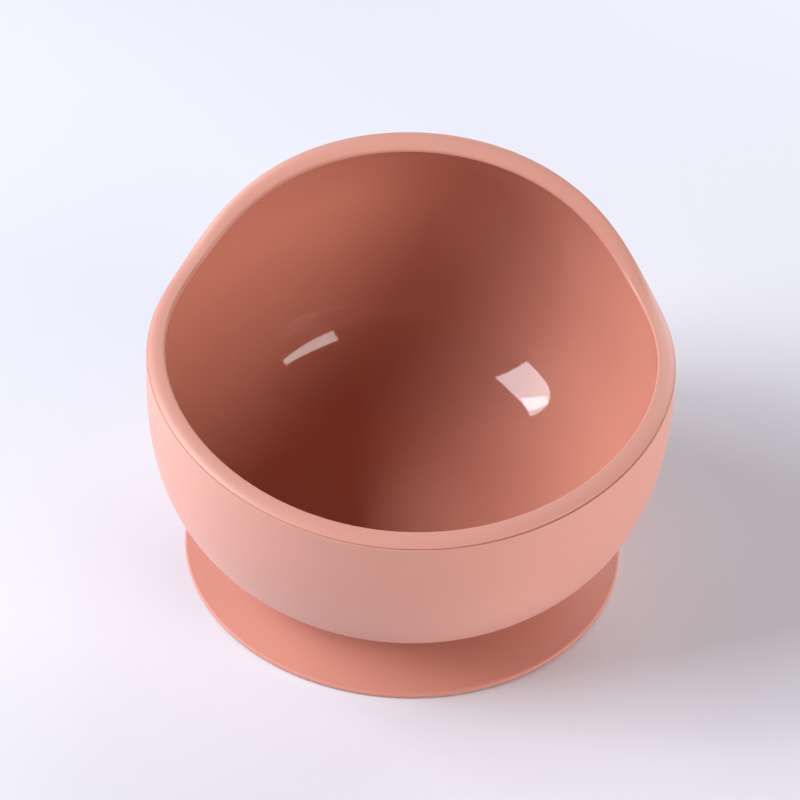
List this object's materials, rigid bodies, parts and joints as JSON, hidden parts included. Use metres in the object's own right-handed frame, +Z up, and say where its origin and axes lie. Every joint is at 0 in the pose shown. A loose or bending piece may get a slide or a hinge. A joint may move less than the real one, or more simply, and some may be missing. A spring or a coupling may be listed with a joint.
{
  "type": "suction bowl",
  "caption": "Thick-walled silicone feeding bowl for a baby, with a raised curved back and a suction skirt that grips the table.",
  "frame": {"origin": "on the table, under the middle of the bowl", "axes": "+Z up, +Y towards the raised back, +X to the right as seen from the low front"},
  "size_m": [0.12, 0.12, 0.089],
  "materials": {
    "bowl_silicone": "satin outside, polished inside",
    "base_silicone": "satin"
  },
  "bodies": {
    "suction_base": {"suction_skirt": "base_silicone"},
    "bowl": {"bowl_shell": "bowl_silicone", "suction_hub": "base_silicone"},
    "tab": {"release_tab": "base_silicone"}
  },
  "joints": [
    {"name": "press_down", "type": "slide", "parent": "suction_base", "child": "bowl", "axis": [0, 0, 1], "range_m": [-0.003, 0], "stiffness_N_per_m": 2000, "springref_m": 0.001, "deforming": ["suction_skirt"]},
    {"name": "tab_lift", "type": "hinge", "parent": "suction_base", "child": "tab", "pos_m": [0, 0.0534, 0.001], "axis": [1, 0, 0], "range_deg": [0, 60], "stiffness_Nm_per_rad": 0.004}
  ]
}
